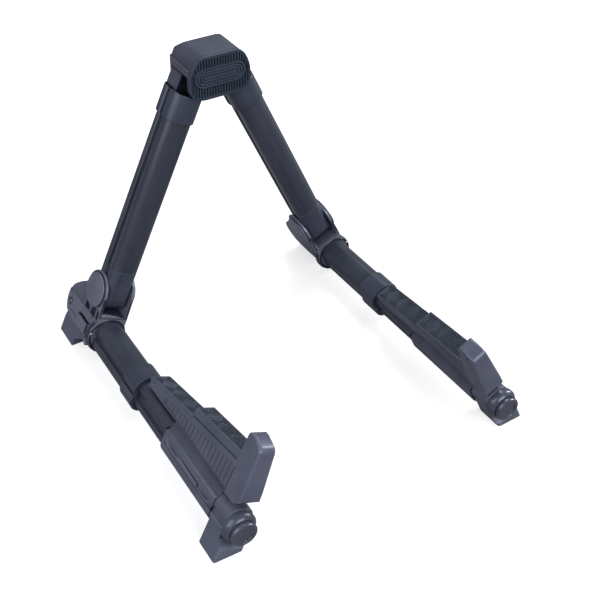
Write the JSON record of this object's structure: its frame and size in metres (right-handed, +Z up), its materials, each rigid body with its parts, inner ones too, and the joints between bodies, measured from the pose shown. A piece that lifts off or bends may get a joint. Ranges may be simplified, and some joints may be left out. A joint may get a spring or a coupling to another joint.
{
  "type": "folding a-frame guitar stand",
  "caption": "Folding A-frame floor stand with hinged legs, telescopic forward arms, swivelling padded cradles with lips and a ribbed backrest pad.",
  "frame": {"origin": "on the floor, in the plane of symmetry, midway between the knob faces in front and the heels of the rear feet", "axes": "+Z up; -Y is the front, where the cradles and the backrest pad face; +X is the stand's right-hand side as seen from the front camera"},
  "size_m": [0.2712, 0.2893, 0.2454],
  "materials": {
    "black_plastic": "fine satin moulded, dark blue-grey black",
    "foot_plastic": "matt moulded",
    "black_aluminium": "black anodised extrusion",
    "turned_aluminium": "turned, plain",
    "black_rubber": "soft matt moulded rubber",
    "bare_steel": "bright zinc plated"
  },
  "bodies": {
    "head": {"head_housing": "black_plastic", "head_cover": "black_plastic", "head_pad": "black_rubber", "leg_axles": "bare_steel", "head_screws": "bare_steel"},
    "right_leg": {"right_leg_top": "black_plastic", "right_leg_collar": "black_plastic", "right_leg_tube": "black_aluminium", "right_leg_bottom": "black_plastic"},
    "right_arm": {"right_bracket_outer": "black_plastic", "right_bracket_inner": "black_plastic", "right_bracket_screws": "bare_steel", "right_pivot_bolt": "bare_steel", "right_pivot_cap_outer": "black_plastic", "right_pivot_cap_inner": "black_plastic", "right_rear_foot": "foot_plastic", "right_arm_tube": "black_aluminium", "right_arm_collar": "black_plastic", "right_button_spring": "bare_steel"},
    "right_button": {"right_release_button": "black_plastic"},
    "right_front_section": {"right_front_tube": "black_aluminium", "right_spindle": "turned_aluminium", "right_end_cap": "black_plastic", "right_front_foot": "foot_plastic", "right_end_knob": "black_plastic"},
    "right_cradle": {"right_cradle_outer": "black_plastic", "right_cradle_inner": "black_plastic", "right_cradle_screws": "bare_steel", "right_rear_pad": "black_rubber", "right_front_pad": "black_rubber"},
    "left_leg": {"left_leg_top": "black_plastic", "left_leg_collar": "black_plastic", "left_leg_tube": "black_aluminium", "left_leg_bottom": "black_plastic"},
    "left_arm": {"left_bracket_outer": "black_plastic", "left_bracket_inner": "black_plastic", "left_bracket_screws": "bare_steel", "left_pivot_bolt": "bare_steel", "left_pivot_cap_outer": "black_plastic", "left_pivot_cap_inner": "black_plastic", "left_rear_foot": "foot_plastic", "left_arm_tube": "black_aluminium", "left_arm_collar": "black_plastic", "left_button_spring": "bare_steel"},
    "left_button": {"left_release_button": "black_plastic"},
    "left_front_section": {"left_front_tube": "black_aluminium", "left_spindle": "turned_aluminium", "left_end_cap": "black_plastic", "left_front_foot": "foot_plastic", "left_end_knob": "black_plastic"},
    "left_cradle": {"left_cradle_outer": "black_plastic", "left_cradle_inner": "black_plastic", "left_cradle_screws": "bare_steel", "left_rear_pad": "black_rubber", "left_front_pad": "black_rubber"}
  },
  "joints": [
    {"name": "right_leg_fold", "type": "hinge", "parent": "head", "child": "right_leg", "pos_m": [0.0168, 0.10454, 0.2222], "axis": [0, 1, 0], "range_deg": [0, 25]},
    {"name": "right_arm_fold", "type": "hinge", "parent": "right_leg", "child": "right_arm", "pos_m": [0.09598, 0.10604, 0.05235], "axis": [-0.9062, -0.014, -0.4226], "range_deg": [0, 87]},
    {"name": "right_button_press", "type": "slide", "parent": "right_arm", "child": "right_button", "axis": [-0.9062, -0.014, -0.4226], "range_m": [0, 0.0012], "stiffness_N_per_m": 700, "deforming": ["right_button_spring"]},
    {"name": "right_front_slide", "type": "slide", "parent": "right_arm", "child": "right_front_section", "axis": [0.0127, -0.9999, 0.0059], "range_m": [0, 0.04]},
    {"name": "right_cradle_swivel", "type": "hinge", "parent": "right_front_section", "child": "right_cradle", "pos_m": [0.11035, 0.08904, 0.02209], "axis": [-0.0127, 0.9999, -0.0059], "range_deg": [0, 90]},
    {"name": "left_leg_fold", "type": "hinge", "parent": "head", "child": "left_leg", "pos_m": [-0.0168, 0.10454, 0.2222], "axis": [0, -1, 0], "range_deg": [0, 25]},
    {"name": "left_arm_fold", "type": "hinge", "parent": "left_leg", "child": "left_arm", "pos_m": [-0.09598, 0.10604, 0.05235], "axis": [-0.9062, 0.014, 0.4226], "range_deg": [0, 87]},
    {"name": "left_button_press", "type": "slide", "parent": "left_arm", "child": "left_button", "axis": [0.9062, -0.014, -0.4226], "range_m": [0, 0.0012], "stiffness_N_per_m": 700, "deforming": ["left_button_spring"]},
    {"name": "left_front_slide", "type": "slide", "parent": "left_arm", "child": "left_front_section", "axis": [-0.0127, -0.9999, 0.0059], "range_m": [0, 0.04]},
    {"name": "left_cradle_swivel", "type": "hinge", "parent": "left_front_section", "child": "left_cradle", "pos_m": [-0.11035, 0.08904, 0.02209], "axis": [-0.0127, -0.9999, 0.0059], "range_deg": [0, 90]}
  ],
  "couplings": [
    {"joint": "right_arm_fold", "follows": "right_leg_fold", "ratio": 3.48},
    {"joint": "right_cradle_swivel", "follows": "right_leg_fold", "ratio": 3.6},
    {"joint": "left_leg_fold", "follows": "right_leg_fold", "ratio": 1},
    {"joint": "left_arm_fold", "follows": "right_leg_fold", "ratio": 3.48},
    {"joint": "left_cradle_swivel", "follows": "right_leg_fold", "ratio": 3.6}
  ]
}
